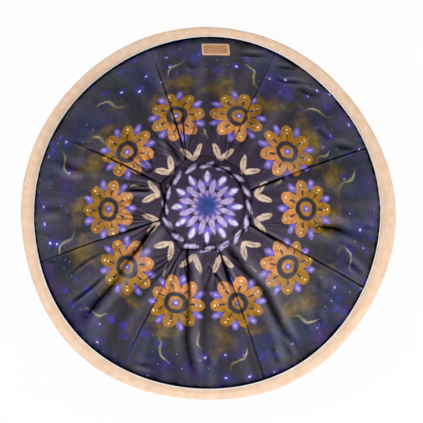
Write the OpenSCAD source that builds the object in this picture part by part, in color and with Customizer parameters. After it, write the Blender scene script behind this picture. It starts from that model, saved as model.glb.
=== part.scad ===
// Handpan in its fitted cloth cover, millimetres, +Z up.
// The origin is on the axis, on the surface that the instrument stands on.
// Two pressed steel shells are bonded at their flanges. The cover is a printed
// stretch panel with sewn darts, held under the rim by an elasticated hem.

/* [Steel shells] */
// Outer diameter of the steel rim
rim_d = 530; // [500:5:560]
// Thickness of the pressed sheet
steel_t = 1.2; // [0.9:0.1:1.5]
// Radius of the broad crown of each dome
crown_r = 350; // [335:5:380]
// Radius of the tighter shoulder between crown and rim
shoulder_r = 260; // [230:5:280]
// Slope at which the crown runs into the shoulder, in degrees
shoulder_slope = 37; // [33:1:40]
// Width of the flat flange round each shell
flange_w = 12.5; // [10:0.5:16]
// Thickness of the adhesive between the flanges
bond_t = 0.4; // [0.2:0.1:0.8]
// How far the adhesive stops short of the rim's edge
bond_inset = 0.6; // [0.2:0.1:1.5]

/* [Ding] */
// Height of the central dome above the crown
ding_h = 14; // [10:1:20]
// Radius of the foot of the central dome
ding_r = 50; // [42:1:60]

/* [Tone fields] */
// Number of tone fields round the ding
field_count = 8; // [7:1:9]
// Radius of the circle that the tone fields lie on
field_ring_r = 168; // [155:1:175]
// Diameter of the lowest tone field
field_d_low = 112; // [100:2:116]
// Diameter of the highest tone field
field_d_high = 88; // [80:2:96]
// How far a tone field is flattened at its middle
field_dip = 2; // [1.5:0.1:2.2]
// Width of a dimple as a share of its tone field
dimple_share = 0.38; // [0.3:0.01:0.45]
// Depth of the dimple in each tone field
dimple_depth = 3; // [2:0.5:4]

/* [Port] */
// Clear diameter of the port in the lower shell
port_d = 105; // [90:1:120]
// Inner radius of the rolled lip that the instrument stands on
lip_r = 9; // [6:1:12]
// Height of the straight neck above the lip
neck_h = 38; // [25:1:50]

/* [Cover panel] */
// Clearance between the cover and the steel
cover_gap = 0.4; // [0.3:0.1:0.8]
// Thickness of the printed stretch fabric with its backing
fabric_t = 1.2; // [0.8:0.1:2]
// How much further out than the ding the fabric comes down to the crown
bridge_w = 16; // [8:1:24]
// How far the panel stops short of the rim's edge
panel_inset = 1; // [0.5:0.5:3]
// Width of the groove along a sewn dart
dart_w = 1.8; // [1:0.1:3]
// Depth of the groove along a sewn dart
dart_depth = 0.6; // [0.3:0.1:0.7]
// Radius at which the darts start
dart_in_r = 63; // [56:1:80]
// How far the darts stop short of the rim band
dart_out_gap = 3; // [1:0.5:8]
// Width of the crease from one dart's start to the next
crease_w = 1.2; // [0.8:0.1:2]

/* [Rim band] */
// Width of the rim band seen from above
band_w = 17; // [14:0.5:22]
// Thickness of the rim band over the flange
band_t = 3.2; // [2.5:0.1:4]
// Thickness of the rim band round the rim's edge
nose_t = 7.1; // [5:0.1:9]
// Thickness of the piping along the band's inner edge
piping_d = 1.7; // [1.2:0.1:2.2]

/* [Hem] */
// Height of the elasticated hem under the rim
hem_h = 5; // [4.5:0.1:7]
// How far the hem reaches in under the rim
hem_reach = 11; // [9:0.5:12]
// Diameter of the elastic in the hem
elastic_d = 3; // [2:0.2:3.2]
// Clearance round the elastic in its channel
elastic_gap = 0.3; // [0.2:0.1:0.5]

/* [Leather tag] */
// Width of the tag
tag_w = 40; // [36:1:54]
// Height of the tag
tag_h = 28; // [20:1:34]
// Thickness of the tag
tag_t = 1.6; // [1.2:0.1:2.4]
// Corner radius of the tag
tag_corner_r = 2; // [1:0.5:4]
// Gap between the tag and the band's piping, seen from above
tag_band_gap = 8.5; // [4:0.5:20]
// Direction of the tag round the rim, in degrees from +X
tag_turn = 87; // [0:0.1:360]
// Gap between the tag and the panel, for its stitching
tag_gap = 0.1; // [0:0.05:0.3]

/* [Hidden] */
$fn = 128;

// Directions of the sewn darts, spaced by hand and not quite even
dart_turns = [20.5, 67.5, 110.5, 153.5, 196.5, 240.5, 287.5, 333.5];
// Longest step along an arc, in degrees
arc_step = 3;
// Overlap of one solid into another that it is joined to or cut from
bite = 1;
// Slopes of faces that look straight out, down and in; slope 0 looks up
outward = 90;
downward = 180;
inward = 270;

rim_r = rim_d / 2;
foot_r = rim_r - flange_w;

// The shoulder arc starts on the crown, so its centre lies on the same radius
shoulder_c = (crown_r - shoulder_r) * [sin(shoulder_slope), cos(shoulder_slope)];
foot_slope = asin((foot_r - shoulder_c.x) / shoulder_r);
// Height of the dome's foot above its crown's centre
foot_rise = shoulder_c.y + shoulder_r * cos(foot_slope);

// The lip's roll touches the ground and meets the lower crown smoothly
roll_r = lip_r + steel_t;
roll_c = [port_d / 2 + roll_r, roll_r];
roll_slope = asin(roll_c.x / (crown_r - roll_r));
lower_c = roll_c.y + (crown_r - roll_r) * cos(roll_slope);

flange_bottom = lower_c - foot_rise;
bond_bottom = flange_bottom + steel_t;
bond_top = bond_bottom + bond_t;
flange_top = bond_top + steel_t;
upper_c = flange_top - foot_rise;

panel_g = cover_gap + fabric_t;
panel_top = flange_top + panel_g;
band_top = panel_top + band_t;
band_out_r = rim_r + nose_t;
band_in_r = band_out_r - band_w;
hem_top = flange_bottom - cover_gap;
hem_bottom = hem_top - hem_h;
nose_r = (band_top - hem_bottom) / 2;
nose_c = [band_out_r - nose_r, hem_bottom + nose_r];
// Where the nose's round crosses the joint between band and hem
nose_turn = outward + asin((nose_c.y - hem_top) / nose_r);

// Points of an arc about c, from slope a0 to slope a1; slope 0 is straight up
function arc(c, r, a0, a1) =
    let (n = max(1, ceil(abs(a1 - a0) / arc_step)))
    [for (i = [0:n]) let (a = a0 + (a1 - a0) * i / n) c + r * [sin(a), cos(a)]];

// Height of a round bump of height h and foot angle a1, at angle a from the axis
function bump(a, a1, h) = a < a1 ? h * (1 + cos(downward * a / a1)) / 2 : 0;

// The crown from the axis out, g outside the steel, with a bump of foot radius r
function crown(g, r) =
    let (a1 = asin(r / crown_r), n = ceil(shoulder_slope / arc_step) * 2)
    [for (i = [0:n]) let (a = shoulder_slope * i / n)
        (crown_r + g + bump(a, a1, ding_h)) * [sin(a), cos(a)]];

// The shoulder g outside the steel, from the crown to slope a1, without its first point
function shoulder(g, a1) =
    let (p = arc(shoulder_c, shoulder_r + g, shoulder_slope, a1))
    [for (i = [1:len(p) - 1]) p[i]];

// Slope at which a surface g outside the steel comes down to g above the flange
function landing(g) = acos((shoulder_r * cos(foot_slope) + g) / (shoulder_r + g));

// The upper dome's outline g outside the steel, down to slope a1, in the part's frame
function dome(g, r, a1) =
    [for (p = concat(crown(g, r), shoulder(g, a1))) p + [0, upper_c]];

// A profile turned upside down, with the lower crown's centre as its origin
function under(pts) = [for (p = pts) [p.x, lower_c - p.y]];

function backwards(pts) = [for (i = [len(pts) - 1:-1:0]) pts[i]];

// The lower shell's outline g inside its outer face, from the neck's top to the foot
function bowl(g) = concat(
    [[port_d / 2 + g, roll_c.y + neck_h]],
    arc(roll_c, roll_r - g, inward, downward - roll_slope),
    under(arc([0, 0], crown_r - g, roll_slope + arc_step, shoulder_slope)),
    under(shoulder(-g, foot_slope)));

// Tone fields run from low to high in turn to the left and right of the player
function rank(i) = i < field_count / 2 ? 2 * i : 2 * (field_count - 1 - i) + 1;
function field_r(i) =
    (field_d_low + (field_d_high - field_d_low) * rank(i) / (field_count - 1)) / 2;

// Radius of a sphere whose cap has base radius a and height h
function cap_r(a, h) = (a * a + h * h) / (2 * h);

// Height of the dome's own cap over a circle of radius a
function crown_cap(a) = crown_r - sqrt(crown_r * crown_r - a * a);

// Places children on the crown's normal through tone field i, at the crown's centre
module at_field(i) {
    translate([0, 0, upper_c])
        rotate([0, 0, 360 * (i + 0.5) / field_count - 90])
            rotate([0, asin(field_ring_r / crown_r), 0])
                children();
}

// The dome's outside surface filled solid, moved in by g, with its fields and dimples
module pressed_dome(g) {
    difference() {
        intersection() {
            rotate_extrude()
                polygon(concat([[0, bond_top - bite]], dome(-g, ding_r, foot_slope),
                    [[foot_r - g * sin(foot_slope), bond_top - bite]]));
            for (i = [0:field_count - 1]) field_face(i, g);
        }
        for (i = [0:field_count - 1]) dimple(i, g);
    }
}

// The flatter sphere that tone field i is pressed to, moved in by g
module field_face(i, g) {
    a = field_r(i);
    r = cap_r(a, crown_cap(a) - field_dip);
    at_field(i) translate([0, 0, crown_r - field_dip - r]) sphere(r - g);
}

// The sphere that presses the dimple into tone field i, moved in by g
module dimple(i, g) {
    r = cap_r(field_r(i) * dimple_share, dimple_depth);
    at_field(i) translate([0, 0, crown_r - field_dip - dimple_depth + r]) sphere(r + g);
}

module upper_shell() {
    color("#6f5f4a") difference() {
        union() {
            pressed_dome(0);
            translate([0, 0, bond_top]) cylinder(r = rim_r, h = steel_t);
        }
        pressed_dome(steel_t);
        translate([0, 0, bond_top - 2 * bite]) cylinder(r = rim_r + bite, h = 2 * bite);
    }
}

module lower_shell() {
    color("#6f5f4a") rotate_extrude()
        polygon(concat(bowl(0),
            [[rim_r, flange_bottom], [rim_r, bond_bottom],
             [foot_r - steel_t * sin(foot_slope), bond_bottom]],
            backwards(bowl(steel_t))));
}

module rim_bond() {
    color("#2b2723") translate([0, 0, bond_bottom]) difference() {
        cylinder(r = rim_r - bond_inset, h = bond_t);
        translate([0, 0, -bite]) cylinder(r = foot_r, h = bond_t + 2 * bite);
    }
}

// Outline of the panel g outside the steel, out to the edge of its flat margin
function panel_line(g) = concat(
    dome(g, ding_r + bridge_w, landing(g)),
    [[rim_r - panel_inset, flange_top + g]]);

// Upright wall over dart i, from its start to near the band
module dart_wall(i) {
    rotate([0, 0, dart_turns[i]]) translate([dart_in_r, -dart_w / 2, flange_bottom])
        cube([band_in_r - dart_out_gap - dart_in_r, dart_w, crown_r]);
}

// Upright wall over the crease from the start of dart i to that of the next
module crease_wall(i) {
    next = i + 1 < len(dart_turns) ? dart_turns[i + 1] : dart_turns[0] + 360;
    half = (next - dart_turns[i]) / 2;
    rotate([0, 0, dart_turns[i] + half])
        translate([dart_in_r * cos(half) - crease_w / 2, -dart_in_r * sin(half), flange_bottom])
            cube([crease_w, 2 * dart_in_r * sin(half), crown_r]);
}

// What the darts and the eight-sided crease take out of the panel's face
module sewn_grooves() {
    intersection() {
        rotate_extrude()
            polygon(concat(panel_line(panel_g - dart_depth), backwards(panel_line(panel_g + bite))));
        union() {
            for (i = [0:len(dart_turns) - 1]) {
                dart_wall(i);
                crease_wall(i);
            }
        }
    }
}

module printed_panel() {
    color("#3b3850") difference() {
        rotate_extrude()
            polygon(concat(panel_line(cover_gap), backwards(panel_line(panel_g))));
        sewn_grooves();
    }
}

module rim_band() {
    color("#ecc6a4") rotate_extrude()
        polygon(concat(
            [[rim_r + cover_gap, hem_top], [rim_r + cover_gap, panel_top],
             [band_in_r, panel_top], [band_in_r, band_top]],
            arc(nose_c, nose_r, 0, nose_turn)));
}

module edge_piping() {
    color("#f6f1ea") rotate_extrude()
        translate([band_in_r - piping_d / 2, band_top - piping_d / 2])
            circle(d = piping_d);
}

hem_in_r = rim_r - hem_reach;
channel_d = elastic_d + 2 * elastic_gap;
elastic_c = [hem_in_r + hem_h / 2, hem_bottom + hem_h / 2];

module hem_casing() {
    color("#e2bb98") rotate_extrude() difference() {
        polygon(concat(
            [[elastic_c.x, hem_top]],
            arc(nose_c, nose_r, nose_turn, downward),
            arc(elastic_c, hem_h / 2, downward, 2 * downward)));
        translate(elastic_c) circle(d = channel_d);
    }
}

module hem_elastic() {
    color("#f2efe9") rotate_extrude() translate(elastic_c) circle(d = elastic_d);
}

tag_g = panel_g + tag_gap;
tag_out_r = band_in_r - piping_d - tag_band_gap;
// Slope at the tag's outer edge, and at its middle, half its height up the shoulder
tag_edge_slope = asin((tag_out_r - shoulder_c.x) / (shoulder_r + tag_g));
tag_slope = tag_edge_slope - downward / PI * tag_h / 2 / (shoulder_r + tag_g);
tag_c = shoulder_c + (shoulder_r + tag_g) * [sin(tag_slope), cos(tag_slope)];

// The part of the panel's outline, g outside the steel, that the tag lies on
function tag_line(g) =
    [for (p = dome(g, ding_r + bridge_w, landing(g))) if (p.x > ding_r + bridge_w) p];

module rounded_plate(w, h, t, r) {
    linear_extrude(height = t, center = true) union() {
        square([w - 2 * r, h], center = true);
        square([w, h - 2 * r], center = true);
        for (x = [-1, 1], y = [-1, 1])
            translate([x * (w / 2 - r), y * (h / 2 - r)]) circle(r = r);
    }
}

// A patch of a skin that follows the panel, cut out by a rounded plate
module leather_tag() {
    half_turn = atan(tag_w / tag_c.x);
    color("#cf9263") rotate([0, 0, tag_turn]) intersection() {
        rotate([0, 0, -half_turn]) rotate_extrude(angle = 2 * half_turn)
            polygon(concat(tag_line(tag_g), backwards(tag_line(tag_g + tag_t))));
        translate([tag_c.x, 0, tag_c.y + upper_c]) rotate([0, tag_slope, 0])
            rounded_plate(tag_h, tag_w, 2 * (tag_t + bite), tag_corner_r);
    }
}

lower_shell();
upper_shell();
rim_bond();
printed_panel();
rim_band();
edge_piping();
hem_casing();
hem_elastic();
leather_tag();
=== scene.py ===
"""Handpan in its fitted cloth cover: the looks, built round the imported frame.

Two nitrided steel shells, bonded at their flanges, wear a printed stretch cover with
sewn darts, a felt band round the rim, an elasticated hem and a small leather tag.
Everything is in metres. The axis of the instrument is the Z axis.
"""

import math

import bmesh
import bpy
from bpy.props import (
    FloatProperty,
    FloatVectorProperty,
    IntProperty,
    PointerProperty,
    StringProperty,
)
from mathutils import Matrix, Vector, noise


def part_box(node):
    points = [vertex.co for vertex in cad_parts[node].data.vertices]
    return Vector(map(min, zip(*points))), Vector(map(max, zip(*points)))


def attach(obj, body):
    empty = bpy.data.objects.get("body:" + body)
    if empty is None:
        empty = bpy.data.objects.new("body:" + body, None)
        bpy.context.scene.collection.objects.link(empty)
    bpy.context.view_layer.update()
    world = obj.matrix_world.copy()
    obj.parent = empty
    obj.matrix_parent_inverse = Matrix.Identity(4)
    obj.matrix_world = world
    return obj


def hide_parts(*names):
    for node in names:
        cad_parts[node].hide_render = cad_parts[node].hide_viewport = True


bl_info = {
    "name": "Handpan in its cover",
    "version": (1, 0, 0),
    "blender": (4, 5, 0),
    "location": "View3D > Sidebar > Handpan",
    "description": "Builds a handpan wearing its fitted printed cover",
    "category": "Object",
}

MM = 0.001
# Round pieces are spun as this many equal wedges, and points closer than WELD are one
WEDGES = 24
WELD = 0.001 * MM
# The axis of the instrument, as the spin operator takes it
AXIS = {"cent": (0, 0, 0), "axis": (0, 0, 1)}

# Settings that shader nodes share: a map with soft ends, and a mix of colours with its output
EASED = {"interpolation_type": "SMOOTHSTEP"}
BLEND = {"data_type": "RGBA", "out": 2}

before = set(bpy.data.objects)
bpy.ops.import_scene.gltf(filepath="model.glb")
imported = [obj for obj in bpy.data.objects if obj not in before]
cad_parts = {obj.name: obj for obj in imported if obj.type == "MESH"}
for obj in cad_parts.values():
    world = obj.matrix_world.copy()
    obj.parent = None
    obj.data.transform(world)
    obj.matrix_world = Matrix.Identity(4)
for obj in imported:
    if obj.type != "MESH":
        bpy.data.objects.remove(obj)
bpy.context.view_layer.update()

# Levels and radii that the frame gives
RIM_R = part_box("lower_shell")[1].x
BOND_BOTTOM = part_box("rim_bond")[0].z
BOND_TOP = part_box("rim_bond")[1].z
PANEL_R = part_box("printed_panel")[1].x
BAND_OUT_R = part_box("rim_band")[1].x
BAND_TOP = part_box("rim_band")[1].z
PIPING_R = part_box("edge_piping")[1].x
HEM_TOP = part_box("hem_casing")[1].z
HEM_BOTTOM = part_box("hem_casing")[0].z
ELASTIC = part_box("hem_elastic")

# Sewn darts: radius (mm) and turn (degrees) of the inner end, and turn at the rim. Then how deep
# a dart is sewn, and the share of that left at the rim, how hard the cloth is drawn at its inner
# end, and the crease from there to the next dart: how sharp it is, and how far it bows out (mm)
DARTS = (
    (63, 18.5, 21.7, 0.9, 1.0, 0.3, 0.75, 7),
    (66, 69, 66.9, 0.55, 0.7, 0.5, 0.6, 4),
    (69, 114.5, 109.3, 0.9, 0.35, 1.0, 0.9, 0),
    (69, 155.5, 153.2, 0.8, 0.2, 1.1, 1.0, -6),
    (67, 198, 197, 0.9, 0.5, 1.0, 0.9, 0),
    (69, 240.5, 241.4, 0.75, 0.3, 0.9, 0.9, 0),
    (62, 284.5, 288.8, 0.6, 0.9, 1.0, 0.7, 1),
    (64, 335, 334, 1.0, 1.0, 0.6, 0.8, 0),
)

# Darts grow shallower from this radius on, over this width
FADE_R = 185 * MM
FADE_W = 45 * MM

# Long folds: half width (mm), depth (mm), then radius (mm) and turn (degrees) along it
FOLDS = (
    (3.6, 1.1, (193, 28), (203, 26), (218, 23.5), (233, 21.7)),
    (3.0, 1.0, (191, 38), (191, 35), (195, 31), (208, 29.5)),
    (4.0, 1.3, (212, 55), (217, 52), (221, 48.5), (232, 45)),
    (2.4, 1.5, (207, 64), (213, 59), (226, 54), (236, 49.5)),
    (2.8, 1.4, (226, 65), (236, 61.5), (246, 58)),
    (3.4, 1.6, (228, 79), (232, 75), (238, 71), (246, 67.5)),
    (3.4, 1.0, (202, 93), (204, 96), (211, 99)),
    (3.2, 1.4, (73, 120), (86, 121), (104, 121.5), (118, 123)),
    (2.4, 1.1, (73, 123), (94, 125), (108, 126.5)),
    (1.4, 1.0, (69, 115.5), (86, 114)),
    (2.0, 1.1, (94, 152.5), (89, 147.5), (83, 142.5)),
    (2.2, 1.0, (179, 150), (191, 152), (213, 153)),
    (2.0, 1.2, (79, 156), (96, 155.5), (105, 155.5), (127, 156.5)),
    (1.6, 1.3, (76, 158.5), (97, 160.5)),
    (1.7, 1.4, (76, 161), (110, 164.5)),
    (1.8, 1.4, (80, 164.5), (111, 169)),
    (2.0, 1.4, (81, 166), (101, 168.5), (124, 170.5)),
    (4.5, 1.3, (167, 164), (176, 163), (200, 163.5), (212, 162.5), (228, 161)),
    (3.2, 0.9, (218, 168), (236, 168.5)),
    (4.2, 1.1, (194, 181), (212, 180), (239, 180)),
    (2.4, 1.0, (225, 199.5), (240, 197)),
    (1.5, 1.2, (148, 203), (165, 203.5), (185, 204), (205, 205), (219, 206.5)),
    (1.8, 1.3, (157, 214), (174, 214), (201, 214.5), (229, 214.5), (249, 215)),
    (5.0, 1.8, (71, 200), (82, 204), (93, 207.5), (112, 212.5), (137, 215.5), (158, 219),
     (202, 220.5), (247, 222)),
    (1.6, 1.1, (76, 201.5), (89, 206), (100, 209.5), (114, 212)),
    (3.0, 1.1, (233, 252.5), (236, 246.5), (240, 243)),
    (5.0, 1.8, (67, 247.5), (77, 249.5), (87, 252.5), (107, 257), (143, 259.5), (182, 261),
     (218, 264), (244, 266)),
    (1.5, 1.2, (63, 246), (72, 248), (82, 251.5), (92, 254)),
    (4.0, 1.1, (198, 270.5), (222, 270.5)),
    (1.5, 1.0, (88, 270), (97, 275)),
    (1.7, 1.3, (83, 271.5), (89, 274.5), (96, 278), (114, 282), (129, 284)),
    (2.8, 1.3, (64, 285), (92, 286), (126, 287.5)),
    (3.2, 1.2, (206, 295), (224, 295), (246, 295)),
    (3.0, 1.0, (201, 299), (223, 300), (249, 300)),
    (4.6, 1.9, (62, 294.5), (77, 297.5), (94, 299.5), (110, 301), (139, 303.5), (170, 302.5),
     (202, 302), (239, 303)),
    (2.0, 1.2, (59, 306), (71, 308)),
    (1.9, 1.5, (66, 335), (100, 333.5), (150, 332.8)),
    (1.9, 1.3, (66, 19.5), (110, 19.7), (150, 20.1)),
    (4.0, 0.9, (205, 316), (236, 314.5)),
    (3.4, 0.9, (181, 328), (197, 323.5)),
    (2.4, 1.4, (56, 344), (63, 339), (73, 337), (87, 336)),
    (3.4, 1.4, (200, 339), (217, 339), (235, 338), (245, 336.5)),
    (3.4, 0.9, (180, 346.5), (202, 345.5), (222, 343.5)),
    (5.0, 1.5, (138, 347.5), (155, 350), (180, 351), (216, 349.5)),
    (2.6, 1.1, (218, 354), (244, 354)),
)

# How the hand-sewn rim wanders: order round the rim, turn of its widest, size (mm)
OUTLINE_WANDER = ((2, 88, 0.4), (3, 102, 1.7), (5, 10, 1.2), (6, 54, 0.9))
BAND_WANDER = ((1, 0, 1.0), (2, 175, 2.4), (3, 2, 1.0), (6, 54, 1.0))


# ---------------------------------------------------------------- sizes and colours


def length(name, about, default):
    """A length that the user can change, given in millimetres."""
    size = default * MM
    return FloatProperty(name=name, description=about, default=size, unit="LENGTH", precision=4)


def turn(name, about, default):
    """An angle that the user can change, given in degrees."""
    angle = math.radians(default)
    return FloatProperty(name=name, description=about, default=angle, subtype="ANGLE")


def colour(name, about, default):
    """An sRGB hex colour that the user can change."""
    return StringProperty(name=name, description=about, default=default)


class ShellSizes(bpy.types.PropertyGroup):
    """Sizes of the two steel shells."""

    steel_t: length("Steel", "Thickness of the pressed sheet", 1.2)
    crown_r: length("Crown radius", "Radius of the broad crown of each dome", 350)
    shoulder_r: length("Shoulder radius", "Radius between crown and rim", 260)
    shoulder_slope: turn("Shoulder slope", "Slope where the crown runs into the shoulder", 37)
    flange_w: length("Flange", "Width of the flat flange", 12.5)
    ding_h: length("Ding height", "Height of the central dome", 14)
    ding_r: length("Ding radius", "Radius of the central dome's foot", 50)
    fields: IntProperty(name="Tone fields", description="Number round the ding", default=8)
    field_ring_r: length("Field circle", "Radius of the circle of tone fields", 168)
    field_low_d: length("Lowest field", "Diameter of the lowest tone field", 112)
    field_high_d: length("Highest field", "Diameter of the highest tone field", 88)
    field_dip: length("Field dip", "Flattening at a field's middle", 2)
    dimple_share: FloatProperty(
        name="Dimple", description="Its width as a share of its field", default=0.38
    )
    dimple_depth: length("Dimple depth", "Depth of each field's dimple", 3)
    port_r: length("Port radius", "Clear radius of the port", 52.5)
    lip_r: length("Lip radius", "Inner radius of the rolled lip", 9)
    neck_h: length("Neck height", "Height of the port's straight neck", 38)


class CoverSizes(bpy.types.PropertyGroup):
    """Sizes of the cloth cover."""

    gap: length("Gap", "From the steel to the cloth's upper side", 1.6)
    lift: length("Lift", "How much further the cloth stands off away from the band", 1.6)
    cloth_t: length("Cloth", "Thickness of the printed cloth with its backing", 0.7)
    bridge_w: length("Bridge", "How much further out than the ding the cloth comes down", 16)
    ding_edge_r: length("Ding crease", "Radius of the crease round the ding", 54)
    ding_edge_off: length("Ding crease offset", "How far it lies off the ding, towards -X", 3.5)
    dart_half_w: length("Dart half width", "Half width of a dart's groove", 0.9)
    dart_depth: length("Dart depth", "Depth of a dart's groove", 1.7)
    dart_take_up: turn("Dart take-up", "Angle of cloth folded away in each dart", 1.6)
    fan_h: length("Fan height", "Height of the folds that fan out of the darts' inner ends", 2.0)
    print_shift: FloatVectorProperty(
        name="Print shift",
        description="How far the print's middle lies from the dome's",
        default=(0, -3.5 * MM),
        size=2,
        subtype="TRANSLATION",
        unit="LENGTH",
    )
    piping_d: length("Piping", "Thickness of the edge piping", 2.1)
    stitch_pitch: length("Stitch pitch", "Distance from one stitch to the next", 4.4)
    stitch_l: length("Stitch length", "Visible length of one stitch", 3.0)
    thread_d: length("Thread", "Thickness of the sewing thread", 0.5)
    tag_w: length("Tag width", "Width of the leather tag", 40)
    tag_h: length("Tag height", "Height of the leather tag", 28)
    tag_t: length("Tag thickness", "Thickness of the leather tag", 1.6)
    tag_rim: length("Tag margin", "Width of the tag's raised margin", 2.6)
    tag_ring_r: length("Tag distance", "From the axis to the tag's middle", 234)
    tag_turn: turn("Tag direction", "Direction of the tag round the rim", 87)
    tag_lean: turn("Tag lean", "How far the tag is sewn out of true", 4)


class PrintColours(bpy.types.PropertyGroup):
    """Colours of the printed cloth."""

    charcoal: colour("Charcoal", "Ground of the print", "2B2530")
    shade: colour("Shade", "Violet-grey ground of the middle", "32223A")
    navy: colour("Navy", "Blue clouds in the ground", "1C2650")
    deep_violet: colour("Deep violet", "Violet clouds in the ground", "34225E")
    rim_blue: colour("Rim blue", "Bright blue clouds near the rim", "26389A")
    rim_violet: colour("Rim violet", "Bright violet clouds near the rim", "3A2090")
    teal: colour("Teal", "Grey-green clouds in the ground", "2A3A40")
    olive: colour("Olive", "Haze outside the blossoms", "7A6220")
    leaf: colour("Leaf", "Olive end of the vines", "6C6838")
    vine_light: colour("Vine light", "Pale end of the vines", "CFC69C")
    ochre: colour("Ochre", "Outer petals of the blossoms", "A87406")
    peach: colour("Peach", "Inner petals of the blossoms", "E09654")
    gold_dot: colour("Gold dots", "Small lights on the petals", "FFE2A0")
    violet: colour("Violet", "Drops between the petals", "7A66CC")
    lilac: colour("Lilac", "Petals of the middle rosette", "C0AAE0")
    cream: colour("Cream", "Leaves round the middle", "DFC4AF")
    umber: colour("Umber", "Veins of the cream leaves", "8A6A58")
    blue: colour("Blue", "The very middle", "2A4488")
    glow: colour("Glow", "Dim rounds in the ground", "382A96")
    pale: colour("Pale", "Small dots in the ground", "E9E4F8")
    # The nap colour is a painted highlight, laid on the ridges beside the cloth's folds
    nap: colour("Nap", "Where the nap is rubbed on ridges", "8C8898")


class FinishColours(bpy.types.PropertyGroup):
    """Colours of everything but the print."""

    felt: colour("Felt", "Rim band", "FFE0C6")
    felt_shade: colour("Felt shade", "Darker mottling of the rim band", "F2CCAA")
    piping: colour("Piping", "Edge of the band", "FFFDFA")
    hem: colour("Hem", "Knit of the hem", "DDBB9B")
    elastic: colour("Elastic", "Covered elastic", "EFECE6")
    leather: colour("Leather", "Face of the tag", "C8834E")
    leather_rub: colour("Leather rub", "Paler margin of the tag", "F0C6A2")
    thread: colour("Thread", "Sewing thread", "F8E0CA")
    bronze: colour("Bronze", "Warm tint of the nitrided steel", "6E604F")
    steel_blue: colour("Steel blue", "Cool tint of the nitrided steel", "535B62")
    glue: colour("Glue", "Cured adhesive", "26221F")


class HandpanSettings(bpy.types.PropertyGroup):
    """All the settings of the model."""

    shell: PointerProperty(type=ShellSizes)
    cover: PointerProperty(type=CoverSizes)
    print_colours: PointerProperty(type=PrintColours)
    finish: PointerProperty(type=FinishColours)


def settings():
    """The settings of the model in this scene."""
    return bpy.context.scene.handpan


# ---------------------------------------------------------------- small helpers


def linear(hex_text):
    """An sRGB hex colour as linear RGBA."""
    channels = [int(hex_text[i : i + 2], 16) / 255 for i in (0, 2, 4)]
    curve = [c / 12.92 if c <= 0.04045 else ((c + 0.055) / 1.055) ** 2.4 for c in channels]
    return (*curve, 1.0)


def fill(tree, made, inputs):
    """Gives the inputs of a shader node their links, plain values or hex colours."""
    for key, value in inputs.items():
        socket = made.inputs[key]
        if isinstance(value, bpy.types.NodeSocket):
            tree.links.new(value, socket)
        elif isinstance(value, str):
            socket.default_value = linear(value)[: len(socket.default_value)]
        else:
            socket.default_value = value


def node(tree, kind, inputs=None, out=0, **values):
    """Adds a shader node with its settings and its inputs; returns one of its outputs.

    A MapRange takes its value, the two ends that it comes from and the two that it goes to. A
    Mix takes its share first, and then two numbers as 2 and 3 or two colours as 6 and 7.
    """
    made = tree.nodes.new("ShaderNode" + kind)
    for name, value in values.items():
        setattr(made, name, value)
    fill(tree, made, inputs or {})
    return made.outputs[out]


def smooth(x):
    """Smooth step of x, from 0 at 0 to 1 at 1."""
    x = min(max(x, 0.0), 1.0)
    return x * x * (3 - 2 * x)


def bell(x):
    """A soft bell: 1 at 0, and next to nothing past 2 on either side."""
    return math.exp(-x * x) if abs(x) < 3 else 0.0


def hill(x):
    """A round hill: 1 at 0, falling to 0 at -1 and 1."""
    return 0.5 + 0.5 * math.cos(math.pi * x) if abs(x) < 1 else 0.0


def turned(a, b):
    """The turn from b to a, between -pi and pi."""
    return (a - b + math.pi) % math.tau - math.pi


def polar(r, angle):
    """A point of the plan at a radius and a turn."""
    return Vector((r * math.cos(angle), r * math.sin(angle)))


def wander(terms, angle):
    """Sum of the waves of a hand-sewn edge at a turn, in metres."""
    return sum(MM * size * math.cos(n * (angle - math.radians(top))) for n, top, size in terms)


def spun(profile, wedge_steps, closed=False):
    """A bmesh of (radius, height) points spun round the Z axis in equal wedges, with faces out."""
    bm = bmesh.new()
    points = [bm.verts.new((r, 0, z)) for r, z in profile]
    ends = points[1:] + points[:1] if closed else points[1:]
    lines = [bm.edges.new(pair) for pair in zip(points, ends)]
    wedge = math.tau / WEDGES
    bmesh.ops.spin(bm, geom=points + lines, angle=wedge, steps=wedge_steps, **AXIS)
    repeat_round(bm, WEDGES)
    bmesh.ops.remove_doubles(bm, verts=bm.verts, dist=WELD)
    bmesh.ops.recalc_face_normals(bm, faces=bm.faces)
    return bm


def everything(bm):
    """All that a bmesh holds, as its operators take it."""
    return bm.verts[:] + bm.edges[:] + bm.faces[:]


def repeat_round(bm, count):
    """Repeats all that a bmesh holds at equal turns round the Z axis."""
    whole = everything(bm)
    sweep = math.tau * (count - 1) / count
    bmesh.ops.spin(bm, geom=whole, angle=sweep, steps=count - 1, use_duplicate=True, **AXIS)


def facing_up(bm, sign=1):
    """Turns an open skin over unless its outermost faces look up, or down for a sign of -1."""
    rim = max(bm.faces, key=lambda face: face.calc_center_median().to_2d().length)
    if rim.normal.z * sign < 0:
        bmesh.ops.reverse_faces(bm, faces=bm.faces)


def arc(centre, radius, start, end, steps):
    """Points of an arc in (radius, height), from slope start to slope end; slope 0 looks up."""
    slopes = [start + (end - start) * i / steps for i in range(steps + 1)]
    return [(centre[0] + radius * math.sin(a), centre[1] + radius * math.cos(a)) for a in slopes]


def placed(name, data):
    """A new object in the scene, at the origin."""
    made = bpy.data.objects.new(name, data)
    bpy.context.collection.objects.link(made)
    return made


def solid(name, bm, material):
    """A new object of one material, made of a bmesh that is used up."""
    mesh = bpy.data.meshes.new(name)
    bm.to_mesh(mesh)
    bm.free()
    mesh.materials.append(material)
    return placed(name, mesh)


def finished(name, bm, body, slot, material, *replaced):
    """Makes a smooth-shaded piece of a bmesh and puts it in the frame."""
    piece = solid(name, bm, material)
    piece.data.polygons.foreach_set("use_smooth", [True] * len(piece.data.polygons))
    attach(piece, body)
    if replaced:
        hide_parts(*replaced)
    return piece


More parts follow.
